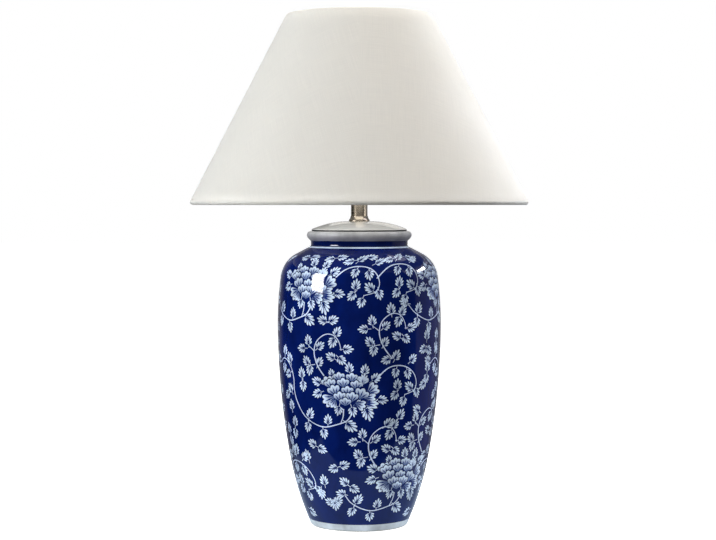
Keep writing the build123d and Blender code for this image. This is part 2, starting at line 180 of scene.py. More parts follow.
def finish_mesh(name, points, faces, normals, uv, colours=None):
    """Mesh object with smooth normals at its points, a map for each corner and painted corners."""
    welded, number = np.unique(np.round(points, WELD_DIGITS), axis=0, return_inverse=True)
    number = number.ravel()
    kept = []
    corners = []
    start = 0
    for face in faces:
        joined = number[face]
        whole = [k for k in range(len(joined)) if joined[k] != joined[k - 1]]
        if len(whole) > 2:
            kept.append([int(joined[k]) for k in whole])
            corners += [start + k for k in whole]
        start += len(joined)
    mesh = bpy.data.meshes.new(name)
    mesh.from_pydata(welded, [], kept)
    mesh.uv_layers.new(name="OFBake").uv.foreach_set("vector", uv[corners].astype(np.float32).ravel())
    if colours is not None:
        layer = mesh.color_attributes.new("Paint", "FLOAT_COLOR", "CORNER")
        layer.data.foreach_set("color", colours[corners].astype(np.float32).ravel())
    mesh.shade_smooth()
    mesh.normals_split_custom_set(normals[corners].tolist())
    made = bpy.data.objects.new(name, mesh)
    bpy.context.scene.collection.objects.link(made)
    return made


def turned(name, section, rounding, longest, columns=128, reshape=None, closed=True, step=0.2 * mm):
    """Mesh of a half section turned round the axis; reshape moves its points in or out."""
    outline = Outline(section, rounding, closed, step)
    along = outline.rows(longest)
    angles = np.linspace(0, 2 * pi, columns + 1) if np.isscalar(columns) else columns
    angle, distance = np.meshgrid(angles, along)
    radius, height, out, up = outline.at(distance)
    if reshape is not None:
        radius, height = reshape(angle, radius, height, out, up)
    points = round_axis(angle, radius, height)
    around = np.gradient(points, angles, axis=1)
    around[:, 0] = around[:, -1] = (points[:, 1] - points[:, -2]) / (angles[1] - angles[-2] + 2 * pi)
    upward = np.gradient(points, along, axis=0)
    if closed:
        upward[0] = upward[-1] = points[1] - points[-2]
    normals = np.cross(around, upward)
    size = np.linalg.norm(normals, axis=-1, keepdims=True)
    plain = round_axis(angle, out, up)
    normals = np.where(size > NO_AREA, normals / np.maximum(size, NO_AREA), plain)
    uv = np.stack([angle / (2 * pi), distance / along[-1]], axis=-1)
    corner = np.arange(angle.size).reshape(angle.shape)
    quads = [corner[:-1, :-1], corner[:-1, 1:], corner[1:, 1:], corner[1:, :-1]]
    quads = np.stack(quads, axis=-1).reshape(-1, 4)
    order = quads.ravel()
    normals = normals.reshape(-1, 3)[order]
    return finish_mesh(name, points.reshape(-1, 3), quads, normals, uv.reshape(-1, 2)[order])


def mount(piece, body, slot, material, *nodes):
    """Put a finished piece on its body, in place of solids, with its material."""
    piece.data.materials.append(material)
    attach(piece, body)
    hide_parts(*nodes)


# Motifs of the peony scroll, drawn flat in metres as complex numbers: right is real, up is imaginary


def towards(heading):
    """Step of length 1 along a heading in degrees."""
    return np.exp(1j * radians(heading))


def shape(points, near, far, root, tip):
    """Painted shape whose colour goes from near at its root to far at its tip."""
    return {"points": np.array(points), "near": near, "far": far, "root": root, "tip": tip}


LOBE_SHARES = np.array([0.34, 0.68, 0.92])  # places along a lobe where its width is given
LOBE_HALVES = np.array([0.34, 0.5, 0.3])  # half of its width there, as a share of the whole
LOBE_WHITE = 0.7  # place along a lobe where it has turned white


def lobe(root, tip, width):
    """Teardrop with a pointed root and a round tip."""
    span = tip - root
    half = width * LOBE_HALVES * 1j * span / abs(span)
    right = root + span * LOBE_SHARES - half
    left = root + span * LOBE_SHARES + half
    edge = [root, *right, tip, *left[::-1]]
    return shape(edge, BRUSH_BLUE, BRUSH_WHITE, root, root + LOBE_WHITE * span)


# Lobes of a leaf of length 1 that points along x: root, tip and width
LEAF_LOBES = (
    (0.48, 1.08, 0.18),
    (0.34 + 0.06j, 0.88 + 0.28j, 0.175),
    (0.18 + 0.07j, 0.63 + 0.43j, 0.175),
    (0.03 + 0.07j, 0.31 + 0.44j, 0.165),
)
STALK_WIDTH = 0.7 * mm
STALK = (-0.3, -0.1, 0.08)  # points of a leaf's stalk, as shares of its length from its base


def leaf(base, heading, length):
    """Leaf with a lobe at its end and three on each side, and a short stalk behind its base."""
    turn = length * towards(heading)
    made = [strip([base + share * turn for share in STALK], STALK_WIDTH, STALK_WIDTH)]
    for root, tip, width in LEAF_LOBES:
        sides = (1, -1) if root.imag else (1,)
        for side in sides:
            a = complex(root.real, side * root.imag)
            b = complex(tip.real, side * tip.imag)
            made.append(lobe(base + turn * a, base + turn * b, width * length))
    return made


def curve(points, spacing):
    """Smooth curve through given points, with points about this far apart."""
    points = np.array(points)
    ends = np.concatenate([[2 * points[0] - points[1]], points, [2 * points[-1] - points[-2]]])
    made = []
    for a, b, c, d in zip(ends, ends[1:], ends[2:], ends[3:]):
        for t in np.linspace(0, 1, max(2, ceil(abs(c - b) / spacing)), endpoint=False):
            made.append(
                b
                + t * (c - a) / 2
                + t**2 * (a - 2.5 * b + 2 * c - d / 2)
                + t**3 * ((d - a) / 2 + 1.5 * (b - c))
            )
    return np.array([*made, points[-1]])


def strip(points, width, end_width):
    """Brush line along points, narrowing to its end."""
    points = np.array(points)
    direction = np.gradient(points)
    half = 0.5j * direction / abs(direction) * np.linspace(width, end_width, len(points))
    edge = [*(points - half), *(points + half)[::-1]]
    return shape(edge, VINE_WHITE, VINE_WHITE, points[0], points[-1])


VINE_WIDTH = 1.45 * mm
VINE_END_WIDTH = 0.9 * mm
VINE_SPACING = 2.2 * mm
TWIG_WIDTH = 0.91 * mm


def vine(points, width=VINE_WIDTH, end_width=VINE_END_WIDTH):
    """Vine through points given in millimetres."""
    path = curve([complex(x, y) * mm for x, y in points], VINE_SPACING)
    return [strip(path, width, end_width)]


LEAF_LENGTH = 11.5 * mm
LEAF_MIDDLE = 0.45  # place of a leaf's middle along it


def leaves(places):
    """Leaves by the place of their middle in millimetres, their heading and their size."""
    made = []
    for x, y, heading, size in places:
        length = LEAF_LENGTH * size
        base = complex(x, y) * mm - LEAF_MIDDLE * length * towards(heading)
        made += leaf(base, heading, length)
    return made


PETAL_GROWTH = 1.17  # how far petals reach past the sizes below, to overlap
PETAL_DROP = -1.6  # millimetres
PETAL_POINTS = 13
PETAL_CROWN = 0.1  # how much shorter a petal is at its sides
PETAL_SCALLOP = 0.2  # depth of the notches in its rim
PETAL_EDGE = 1.12  # size of its dark outline
PETAL_EDGE_ROOT = -0.12  # start of the outline behind its base
PETAL_SHADE = (0.2, 0.75)  # where its heart begins to fade and ends
STROKES = (-0.62, 0, 0.62)  # lean of its strokes, as shares of its spread
STROKE = np.array([0.1, 0.45 - 0.06j, 0.82, 0.45 + 0.06j])


def petal(base, heading, size, spread):
    """Fan petal of three scallops with a dark outline, a white rim, a shaded heart and dark strokes."""
    turn = PETAL_GROWTH * size * towards(heading)
    share = np.linspace(-1, 1, PETAL_POINTS)
    scallops = 1 - PETAL_SCALLOP + PETAL_SCALLOP * abs(np.sin(1.5 * pi * (share + 1)))
    fan = np.exp(1j * radians(spread) * share) * (1 - PETAL_CROWN * share**2) * scallops
    edge = base + turn * np.array([PETAL_EDGE_ROOT, *(PETAL_EDGE * fan)])
    body = base + turn * np.array([0, *fan])
    heart, fade = base + turn * np.array(PETAL_SHADE)
    made = [
        shape(edge, COBALT_LINE, COBALT_LINE, base, base + turn),
        shape(body, PETAL_BLUE, BRUSH_WHITE, heart, fade),
    ]
    for across in STROKES:
        side = turn * np.exp(1j * radians(spread) * across)
        made.append(shape(base + side * STROKE, COBALT_LINE, COBALT_WASH, base, base + side))
    return made


# Petals from the back to the front: base in millimetres, heading, size in millimetres and half spread
PETALS = (
    (-17.2, -6.4, 206, 14.2, 38), (-16.2, -9.5, 239, 9.5, 40), (3.2, -17.2, 27, 11.4, 22),
    (8, -15.5, 2, 17, 18), (14.5, -12.6, 355, 16.5, 24), (16, -7.5, 14, 12.6, 32),
    (20.1, -2.4, 37, 13.5, 38), (6.5, -13, 338, 11, 38), (14, 7, 78, 10, 50),
    (-11.6, 12, 95, 8.9, 58), (2.7, 11.4, 88, 8.9, 58), (-23.9, 6.3, 118, 10, 54),
    (-7, 4.8, 93, 9.4, 58), (7.6, 2.8, 86, 8.9, 58), (-21.3, 3, 105, 10, 52),
    (-2.4, -3.9, 90, 9, 60), (-16.2, -5, 110, 11.2, 50), (11.4, -8.5, 66, 11.5, 52),
    (-10.6, -12.1, 96, 10.4, 52), (2.2, -12.1, 82, 10.2, 52), (-5, -16.7, 90, 8.4, 64),
)
# A leaf over the petals, as the leaves round them
TOP_LEAF = (16.5, 13, 78, 1)
# Leaves round the flower: place in millimetres, heading and size
COLLAR_LEAVES = (
    (0.2, 25.5, 95, 1), (18, 23.3, 82, 1), (-20.9, 19.5, 105, 0.75), (-39.5, 9, 158, 1.05),
    (-39, -5, 200, 1.05), (-13, -23.5, 258, 0.95), (3.5, -24.5, 285, 1), (20.8, -27, 285, 1.35),
    (38, -11.6, 352, 1.05), (30.5, 14, 38, 1.05),
)


def peony():
    """Flower of overlapping petals in a collar of leaves."""
    made = leaves(COLLAR_LEAVES)
    for x, y, heading, size, spread in PETALS:
        made += petal(complex(x, y + PETAL_DROP) * mm, heading, size * mm, spread)
    return made + leaves([TOP_LEAF])


# Vines of one spray, in millimetres from the middle of its flower
HOOK = (
    (-27, 12), (-37.6, 25.8), (-42.9, 40.2), (-41.2, 52.2), (-34.3, 60.3),
    (-25.6, 64), (-17.1, 61.9), (-11.7, 54.8), (-9.3, 45.5),
)
HOOK_LEAVES = (
    (-51.3, 55.8, 98, 1), (-61, 46.4, 182, 1), (-54.1, 32, 125, 1), (-49.5, 22, 262, 1),
    (-35, 50, 40, 0.95), (-36, 31.5, 62, 0.95), (-13.7, 66.5, 62, 1), (-19.5, 54.7, 246, 1.05),
    (-2, 47, 2, 1.05), (-21.5, 38.1, 152, 1), (-9, 34.5, 318, 1),
)
HOOK_TWIGS = (
    ((-42.5, 43.5), (-46, 46.5), (-51, 50)),
    ((-42, 28.5), (-45, 28), (-50, 27)),
)
SCROLL = (
    (29, 10), (42.9, 23.6), (55.9, 27.6), (69.9, 25.1), (80.2, 17),
    (84, 6), (79.5, -2.5), (67, -6.5),
)
SCROLL_LEAVES = (
    (43, 34.4, 196, 1), (55.6, 39.2, 62, 1.05), (78.4, 34.4, 38, 1.05), (54.4, 19.6, 255, 0.95),
    (71, 17.5, 285, 1), (57, 5.5, 85, 1.05), (53.1, -6.8, 230, 1), (73, 2.5, 140, 1.1),
    (84.5, -5, 285, 1), (64.2, -14, 252, 1),
)
STEM = (
    (2.3, -28), (-3.1, -35.5), (-12.6, -39.7), (-29.8, -44), (-43.7, -41),
    (-57.3, -33.6), (-66, -24.5),
)
STRAND = ((-7, -22), (-7.7, -30.9), (-10.5, -38.6))
STEM_LEAVES = (
    (-50, -29.5, 70, 1.1), (-26, -35.5, 88, 1), (-54, -45, 258, 1), (-31.5, -51.5, 282, 1),
    (1, -42, 322, 1.3),
)
STEM_END_LEAVES = ((-71, -22, 165, 1),)
TAIL = (
    (-66, -24.5), (-73, -13), (-76.2, -2), (-76.5, 9), (-80.2, 20.5),
    (-88.5, 29.5), (-99, 32.5), (-110, 27),
)
TAIL_LEAVES = (
    (-84, -2, 125, 1), (-83, -22, 100, 1.05), (-62, 17.4, 95, 1.05), (-60, 3, 272, 1.05),
    (-88, 15, 200, 1), (-116, 31, 150, 1.05), (-95, 42, 80, 1), (-98, 22, 262, 0.95),
    (-92, -10, 235, 0.95),
)


def hook():
    """Vine that rises and curls over to the right."""
    made = vine(HOOK)
    for twig in HOOK_TWIGS:
        made += vine(twig, TWIG_WIDTH, STALK_WIDTH)
    return made + leaves(HOOK_LEAVES)


def scroll():
    """Vine that runs to the right and rolls in."""
    return vine(SCROLL) + leaves(SCROLL_LEAVES)


def stem(with_tail):
    """Two strands below the flower that join and swing to the left, with or without a curling tail."""
    made = vine(STEM) + vine(STRAND) + leaves(STEM_LEAVES)
    if with_tail:
        return made + vine(TAIL) + leaves(TAIL_LEAVES)
    return made + leaves(STEM_END_LEAVES)


PAIR_GAP = 1.5 * mm
PAIR_LEAF = 12 * mm
SINGLE_LEAF = 1.1  # size of a loose leaf without a partner


def pair(heading, opening):
    """Two loose leaves on one stalk, this many degrees apart."""
    made = []
    for way in (heading, heading + opening):
        made += leaf(PAIR_GAP * towards(way), way, PAIR_LEAF)
    return made


# Rows of flowers: height, angles, moves of their hooks and scrolls, and whether they have tails
FLOWER_ROWS = (
    (291, (-37, 75, -165), None, (0, -7), False),
    (169.5, (-6.9, 125, -128), (0, 0), (0, 0), True),
    (69, (38.5, 158, -99), (-4.5, -5.5), (-6, -15), False),
)
# Hooks and scrolls without a flower, by the angle and height where a flower would be
LONE_HOOKS = ((39, 193), (78.5, 80), (-92, 205), (155, 196), (178, 82))
LONE_SCROLLS = ((-5.5, 287), (108, 287), (-130, 287))
# Loose pairs and single leaves in the front: angle, height, heading and opening (0 for one leaf)
LOOSE = (
    (-45.4, 319.8, 5, 180), (-19.3, 319.5, 15, 180), (11, 320.9, 20, 0), (46.4, 319.1, 340, 0),
    (-21.8, 247, 22, 140), (22.1, 262, 95, 0), (-34.6, 101.9, 338, 175), (-16.7, 79.5, 20, 180),
    (-8.9, 57.2, 328, 170), (-31.6, 62, 95, 0), (-36.3, 45.9, 262, 0), (-23.5, 33.3, 50, 105),
    (-23.5, 33.3, 270, 0), (-57.3, 20.2, 330, 0), (59.2, 19.9, 200, 0), (31.4, 139.9, 60, 0),
    (21.9, 130.7, 40, 0), (46.6, 144.2, 150, 0), (54.2, 230.3, 85, 0), (53.7, 216.4, 200, 120),
    (68, 222.9, 80, 190), (55.7, 186.1, 85, 175), (51.2, 172.6, 215, 0), (-60, 95, 70, 0),
    (-46, 90, 105, 0), (-57, 122, 80, 180), (-67, 112, 100, 180), (-57, 203, 110, 0),
)
# Loose pairs strewn over the rest of the side
STREWN_SEED = 11
STREWN_TRIES = 2600
STREWN_ROOM = 12.75 * mm
STREWN_HEIGHTS = (18 * mm, 322 * mm)
STREWN_OPENINGS = (130, 190)
FRONT_ANGLE = 78  # the front to each side of the middle is placed one by one


# The jar's skin


def jar_outline():
    """Whole skin of the jar, from the middle of its underside over its lip to its floor inside."""
    points = [(0, FOOT_INSIDE[1]), FOOT_INSIDE, (FOOT_INSIDE[0], FOOT[1]), FOOT, BAND]
    calf, heading = tangent_arc(BELLY, -pi / 2, CALF)
    foot = tangent_arc(CALF, heading, BAND)[0]
    shoulder, heading = tangent_arc(BELLY, pi / 2, SHOULDER)
    crown = tangent_arc(SHOULDER, heading, CROWN)[0]
    points += foot[::-1] + calf[::-1] + shoulder + crown
    points += [NECK, (NECK[0], LIP_BASE)]
    lip_low = bulged_arc((NECK[0], LIP_BASE), LIP_WIDEST, LIP_BULGES[0])
    lip_high = bulged_arc(LIP_WIDEST, LIP_TOP, LIP_BULGES[1])
    mouth = NECK[0] - JAR_WALL
    points += lip_low + lip_high + [(mouth, LIP_TOP[1]), (mouth, NECK[1] - JAR_WALL / 2)]
    inside = [CROWN, SHOULDER, BELLY, CALF]
    points += [(r - JAR_WALL, z - (JAR_WALL if z == CROWN[1] else 0)) for r, z in inside]
    points += [(BAND[0] - JAR_WALL, JAR_FLOOR), (0, JAR_FLOOR)]
    return Outline(points, GLAZE_ROUNDING)


def moved(flat, shift):
    """A painted shape moved by a shift."""
    return {**flat, **{key: flat[key] + shift for key in ("points", "root", "tip")}}


class Skin:
    """The jar's side unrolled: across is the angle times a mean radius, up is the way along it."""

    mean_radius = 90 * mm
    seam = radians(-100)

    def __init__(self, outline):
        self.outline = outline
        widest = int(np.argmax(outline.radius))
        lowest = int(np.argmin(np.where(outline.along < outline.along[widest], outline.height, 1)))
        highest = int(np.argmax(outline.height))
        self.side = slice(lowest, highest + 1)
        self.left = self.seam * self.mean_radius
        self.whole = 2 * pi * self.mean_radius
        self.shapes = []

    def along(self, height):
        """Way along the outline where its outer side has this height."""
        return np.interp(height, self.outline.height[self.side], self.outline.along[self.side])

    def lay(self, shapes, angle, height, shift=0):
        """Put flat shapes, moved by a shift, on the side, round an angle in degrees and a height."""
        start = self.along(height)
        for flat in shapes:
            made = moved(flat, shift)
            for key in ("points", "root", "tip"):
                way = start + np.imag(made[key])
                turn = radians(angle) + np.real(made[key]) / self.outline.at(way)[0]
                made[key] = turn * self.mean_radius + 1j * way
            wraps = np.floor((np.mean(made["points"].real) - self.left) / self.whole)
            made = moved(made, -wraps * self.whole)
            self.shapes.append(made)
            for copy in (moved(made, -self.whole), moved(made, self.whole)):
                across = copy["points"].real
                if across.max() > self.left and across.min() < self.left + self.whole:
                    self.shapes.append(copy)


def paint_scroll(skin):
    """Lay the whole decoration on the jar's side: vines first, flowers last."""
    flowers = []
    for height, angles, hook_shift, scroll_shift, with_tail in FLOWER_ROWS:
        for angle in angles:
            spot = (angle, height * mm)
            skin.lay(stem(with_tail), *spot)
            skin.lay(scroll(), *spot, complex(*scroll_shift) * mm)
            if hook_shift:
                skin.lay(hook(), *spot, complex(*hook_shift) * mm)
            flowers.append(spot)
    for angle, height in LONE_HOOKS:
        skin.lay(hook(), angle, height * mm)
    for angle, height in LONE_SCROLLS:
        skin.lay(scroll(), angle, height * mm)
    for angle, height, heading, opening in LOOSE:
        flat = pair(heading, opening) if opening else leaves([(0, 0, heading, SINGLE_LEAF)])
        skin.lay(flat, angle, height * mm)
    for angle, height in flowers:
        skin.lay(peony(), angle, height)
    strew(skin)


def strew(skin):
    """Fill the bare places away from the front with loose pairs."""
    draw = random.Random(STREWN_SEED)
    taken = np.concatenate([s["points"] for s in skin.shapes])
    for _ in range(STREWN_TRIES):
        angle = draw.uniform(FRONT_ANGLE, 360 - FRONT_ANGLE)
        height = draw.uniform(*STREWN_HEIGHTS)
        heading = draw.uniform(0, 360)
        way = skin.along(height)
        turn = radians(angle)
        while turn > skin.seam + 2 * pi:
            turn -= 2 * pi
        spot = turn * skin.mean_radius + 1j * way
        if np.min(abs(taken - spot)) < STREWN_ROOM:
            continue
        before = len(skin.shapes)
        skin.lay(pair(heading, draw.uniform(*STREWN_OPENINGS)), angle, height)
        taken = np.concatenate([taken, *[s["points"] for s in skin.shapes[before:]]])


SKIN_WELD = 1e-7  # painted points closer than this are one
SEAM_WELD = 1e-9  # points this near the seam's right side go to its left side


def skin_grid(skin, marks, columns, longest):
    """Grid over the unrolled skin, with edges along its seam, its ends and the marked rows."""
    rows = np.concatenate([skin.outline.rows(longest), marks])
    rows = np.unique(np.round(rows, WELD_DIGITS))
    across = skin.left + skin.whole * np.linspace(0, 1, columns + 1)
    points = [(x, y) for y in rows for x in across]
    wide = columns + 1
    edges = []
    for r in range(len(rows) - 1):
        edges += [(r * wide, (r + 1) * wide), (r * wide + columns, (r + 1) * wide + columns)]
    for r in (0, len(rows) - 1, *(int(np.argmin(abs(rows - y))) for y in marks)):
        edges += [(r * wide + c, r * wide + c + 1) for c in range(columns)]
    return points, edges, rows[-1]


def skin_mesh(name, skin, columns=144, longest=4.5 * mm):
    """The whole skin as triangles, cut along every painted edge, with the paint on their corners."""
    marks = [skin.along(z) for z in (BAND[1], *WHITE_LINE, LIP_BASE)]
    points, edges, end = skin_grid(skin, marks, columns, longest)
    right = skin.left + skin.whole
    faces = []
    for border in [*(s["points"] for s in skin.shapes), inlet_edge(skin)]:
        area = np.sum(np.imag(np.conj(border) * np.roll(border, -1)))
        border = border if area > 0 else border[::-1]
        faces.append(list(range(len(points), len(points) + len(border))))
        points += [(p.real, p.imag) for p in border]
    points = [Vector(p) for p in points]
    flat, _, triangles, _, _, owners = delaunay_2d_cdt(points, edges, faces, 0, SKIN_WELD, True)
    flat = np.array([(p.x, p.y) for p in flat])
    triangles = np.array(triangles)
    owner = np.array([max(f, default=-1) for f in owners])
    middle = flat[triangles].mean(axis=1)
    inside = (middle[:, 0] > skin.left) & (middle[:, 0] < right) & (owner < len(skin.shapes))
    triangles, owner = triangles[inside], owner[inside]
    corner = flat[triangles]
    colours = ground_colours(corner[..., 1], middle[inside, 1], marks, skin.along(LIP_TOP[1]))
    paint_corners(colours, corner, owner, skin.shapes)
    across, along = flat.T
    radius, height, out, up = skin.outline.at(along)
    angle = np.where(across > right - SEAM_WELD, across - skin.whole, across) / skin.mean_radius
    order = triangles.ravel()
    uv = np.column_stack([(across - skin.left) / skin.whole, along / end])
    points = round_axis(angle, radius, height)
    normals = round_axis(angle, out, up)[order]
    return finish_mesh(name, points, triangles, normals, uv[order], colours.reshape(-1, 4))


def inlet_edge(skin):
    """Edge of the cord inlet on the outer skin."""
    turn = np.exp(2j * pi * np.arange(INLET_POINTS) / INLET_POINTS) * INLET_HOLE
    centre = pi * skin.mean_radius + 1j * skin.along(INLET_PLACE[1])
    stretch = skin.mean_radius / INLET_PLACE[0]
    return centre + turn.real * stretch + 1j * turn.imag


def ground_colours(way, middle, marks, lip_top):
    """Colours of the bare glaze: pale foot, cobalt side, white line, neck band darkened as painted
    shade under the lip, and a lip painted from shade at its base to a highlight at its top.
    """
    band, line_low, line_high, lip = marks
    colours = np.empty((*way.shape, 4))
    # Lip: painted shade at its base fading to a painted highlight at its top
    share = np.clip((way - lip) / (lip_top - lip), 0, 1)[..., None] ** LIP_SHADE_FADE
    colours[:] = linear(LIP_SHADED_GREY) + (np.array(linear(LIP_LIT_WHITE)) - linear(LIP_SHADED_GREY)) * share
    colours[middle < band] = linear(FOOT_WHITE)
    colours[..., 3] = SATIN
    colours[(middle > band) & (middle < lip)] = linear(COBALT)
    colours[(middle > line_low) & (middle < line_high)] = linear(BRUSH_WHITE)
    # Neck band darkened: painted shade under the lip
    colours[(middle > line_high) & (middle < lip)] = linear(SHADED_NECK_COBALT)
    return colours


def paint_corners(colours, corner, owner, shapes):
    """Give each painted triangle its shape's colours, from root to tip."""
    painted = owner >= 0
    near, far, root, tip = (
        np.array(values)[owner[painted]][:, None]
        for values in zip(*((linear(s["near"]), linear(s["far"]), s["root"], s["tip"]) for s in shapes))
    )
    span = tip - root
    spot = corner[painted][..., 0] + 1j * corner[painted][..., 1]
    share = np.clip(np.real((spot - root) * np.conj(span)) / abs(span) ** 2, 0, 1)[..., None]
    colours[painted] = near + (far - near) * share


# Materials


class Nodes:
    """A node tree with short ways to add and link nodes."""

    def __init__(self, tree):
        self.tree = tree

    def feed(self, socket, value):
        """Link a socket to another node's output, or set it to a constant."""
        if isinstance(value, bpy.types.NodeSocket):
            self.tree.links.new(value, socket)
        else:
            socket.default_value = value

    def node(self, kind, inputs=None, **settings):
        made = self.tree.nodes.new("ShaderNode" + kind)
        for key, value in settings.items():
            setattr(made, key, value)
        for key, value in (inputs or {}).items():
            self.feed(made.inputs[key], value)
        return made

    def calc(self, operation, first, second=0.0):
        return self.node("Math", {0: first, 1: second}, operation=operation).outputs[0]

    def where(self, stretch=(1, 1, 1), uv=None):
        """Coordinates in metres, stretched along each axis."""
        if uv:
            source = self.node("UVMap", uv_map=uv).outputs[0]
        else:
            source = self.node("TexCoord").outputs["Object"]
        return self.node("Mapping", {"Vector": source, "Scale": stretch}).outputs[0]

    def noise(self, where, scale, detail=3.0, rough=0.5):
        inputs = {"Vector": where, "Scale": scale, "Detail": detail, "Roughness": rough}
        return self.node("TexNoise", inputs).outputs["Fac"]

    def spread(self, value, low, high, start=0.3, end=0.7):
        """A value from start to end, carried over to low to high."""
        return self.node("MapRange", {0: value, 1: start, 2: end, 3: low, 4: high}).outputs[0]

    def tint(self, colour, factor):
        """A colour made lighter or darker by a factor."""
        inputs = {"Factor": 1.0, 6: colour, 7: factor}
        return self.node("Mix", inputs, data_type="RGBA", blend_type="MULTIPLY").outputs[2]


class Finish(Nodes):
    """A material and its shader."""

    def __init__(self, name, **sockets):
        self.material = bpy.data.materials.new(name)
        self.material.use_nodes = True
        super().__init__(self.material.node_tree)
        self.shader = self.tree.nodes["Principled BSDF"]
        for socket, value in sockets.items():
            self.set(socket.replace("_", " "), value)

    def set(self, socket, value):
        self.feed(self.shader.inputs[socket], value)

    def bump(self, height, strength, distance):
        inputs = {"Height": height, "Strength": strength, "Distance": distance}
        self.set("Normal", self.node("Bump", inputs).outputs[0])


TRANSLUCENT = {"Subsurface_Weight": 1.0, "Subsurface_Radius": (1, 1, 1), "Subsurface_Scale": 5 * mm}
CLEAR_COAT = {"Coat_Weight": 0.6, "Coat_Roughness": 0.05}
SATIN_ROUGHNESS = 0.3
TURNING_LINES = (3, 3, 900)  # stretch of noise into rings round the axis
THREAD_PITCH = 0.55 * mm
SLUB = (1400, 26)  # stretch of noise across and along a thread
SLUB_SPAN = (0.7, 1.3)  # lowest and highest sum of the two slub noises
WEAVE_SHARE = 0.35  # height of the weave against the slubs
MOTTLE_DEPTH = 0.1 * mm


def jar_glaze():
    """Painted porcelain under a clear glaze: washes in the cobalt and a faint ripple in the gloss."""
    made = Finish("jar_glaze", IOR=1.5)
    layer = made.node("VertexColor", layer_name="Paint")
    wash = made.noise(made.where((1, 1, 0.6)), scale=34, detail=6.0, rough=0.62)
    made.set("Base Color", made.tint(layer.outputs["Color"], made.spread(wash, low=0.65, high=1.3)))
    gloss = made.spread(made.noise(made.where(), scale=300, detail=2.0), low=0.03, high=0.07)
    satin = made.spread(layer.outputs["Alpha"], low=SATIN_ROUGHNESS, high=0.0, start=0.0, end=1.0)
    made.set("Roughness", made.calc("ADD", gloss, satin))
    made.bump(made.noise(made.where(), scale=55, detail=2.0), strength=0.03, distance=1 * mm)
    return made.material


def pale_glaze():
    """Pale celadon glaze, pooled a little unevenly."""
    made = Finish("pale_glaze", Coat_Weight=0.5, Coat_Roughness=0.04, IOR=1.5)
    wash = made.noise(made.where(), scale=45, detail=4.0, rough=0.6)
    made.set("Base Color", made.tint(linear(LID_WHITE), made.spread(wash, low=0.94, high=1.04)))
    gloss = made.noise(made.where(), scale=300, detail=2.0)
    made.set("Roughness", made.spread(gloss, low=0.07, high=0.16))
    made.bump(made.noise(made.where(), scale=60, detail=2.0), strength=0.05, distance=2 * mm)
    return made.material


def nickel():
    """Satin nickel with fine turning lines round the axis."""
    made = Finish("nickel", Metallic=1.0)
    lines = made.noise(made.where(TURNING_LINES), scale=6)
    made.set("Base Color", made.tint(linear(NICKEL), made.spread(lines, low=0.88, high=1.06)))
    made.set("Roughness", made.spread(lines, low=0.22, high=0.3))
    made.bump(lines, strength=0.02, distance=0.1 * mm)
    return made.material


def linen():
    """Fine off-white linen laid flat on the cone: warp, weft and slubs in the weave's own map."""
    made = Finish("shade_linen", Sheen_Weight=0.15, Sheen_Roughness=0.5, **TRANSLUCENT)
    parts = made.node("SeparateXYZ", {0: made.where(uv="Weave")})
    waves = 2 * pi / THREAD_PITCH
    warp = made.calc("SINE", made.calc("MULTIPLY", parts.outputs[0], waves))
    weft = made.calc("SINE", made.calc("MULTIPLY", parts.outputs[1], waves))
    weave = made.calc("MULTIPLY", warp, weft)
    slub_up = made.noise(made.where((SLUB[0], SLUB[1], 1), uv="Weave"), scale=1, detail=2.0)
    slub_across = made.noise(made.where((SLUB[1], SLUB[0], 1), uv="Weave"), scale=1, detail=2.0)
    slubs = made.calc("ADD", slub_up, slub_across)
    made.set("Base Color", made.tint(linear(LINEN), made.spread(slubs, 0.95, 1.02, *SLUB_SPAN)))
    made.set("Roughness", made.spread(slubs, 0.8, 0.95, *SLUB_SPAN))
    height = made.calc("ADD", made.calc("MULTIPLY", weave, WEAVE_SHARE), slubs)
    made.bump(height, strength=0.25, distance=0.15 * mm)
    return made.material


def speckled(name, colour, mottle, rough, scale, bump, **sockets):
    """Plain material with a fine mottle in its colour, roughness and surface."""
    made = Finish(name, **sockets)
    grain = made.noise(made.where(), scale, detail=4.0, rough=0.6)
    made.set("Base Color", made.tint(linear(colour), made.spread(grain, *mottle)))
    made.set("Roughness", made.spread(grain, low=rough * 0.85, high=rough * 1.15))
    made.bump(grain, strength=bump, distance=MOTTLE_DEPTH)
    return made.material


# Plain materials: name, colour, mottle, roughness, size of grain, depth of grain
felt = speckled("felt", (214, 212, 206), (0.6, 1.3), 0.95, 900, 0.6, Sheen_Weight=0.4)
bush_rubber = speckled("bush_rubber", (34, 33, 33), (0.85, 1.15), 0.55, 700, 0.15)
gasket_rubber = speckled("gasket_rubber", (14, 14, 20), (0.85, 1.15), 0.5, 700, 0.15)
zinc = speckled("zinc_steel", (205, 206, 208), (0.85, 1.05), 0.28, 400, 0.1, Metallic=1.0)
black_plastic = speckled("holder_plastic", (30, 30, 31), (0.9, 1.15), 0.38, 1200, 0.12)
white_ceramic = speckled("white_ceramic", (232, 229, 222), (0.94, 1.03), 0.5, 800, 0.1)
brass = speckled("contact_brass", (214, 178, 104), (0.85, 1.05), 0.25, 500, 0.1, Metallic=1.0)
liner_film = speckled("liner_plastic", (242, 242, 239), (0.97, 1.02), 0.45, 600, 0.05, **TRANSLUCENT)
enamel = speckled("wire_enamel", (238, 238, 235), (0.96, 1.02), 0.35, 500, 0.12)
opal = speckled("opal_glass", (246, 246, 243), (0.98, 1.01), 0.22, 90, 0.02, **CLEAR_COAT)
bulb_metal = speckled("bulb_metal", (206, 206, 205), (0.88, 1.04), 0.3, 500, 0.1, Metallic=1.0)
vitrite = speckled("vitrite", (26, 27, 32), (0.9, 1.2), 0.15, 300, 0.05)
satin_nickel = nickel()

# Jar, painted all over
jar_skin = Skin(jar_outline())
paint_scroll(jar_skin)
jar_piece = skin_mesh("ginger_jar", jar_skin)
mount(jar_piece, "base", "jar_glaze", jar_glaze(), "jar")

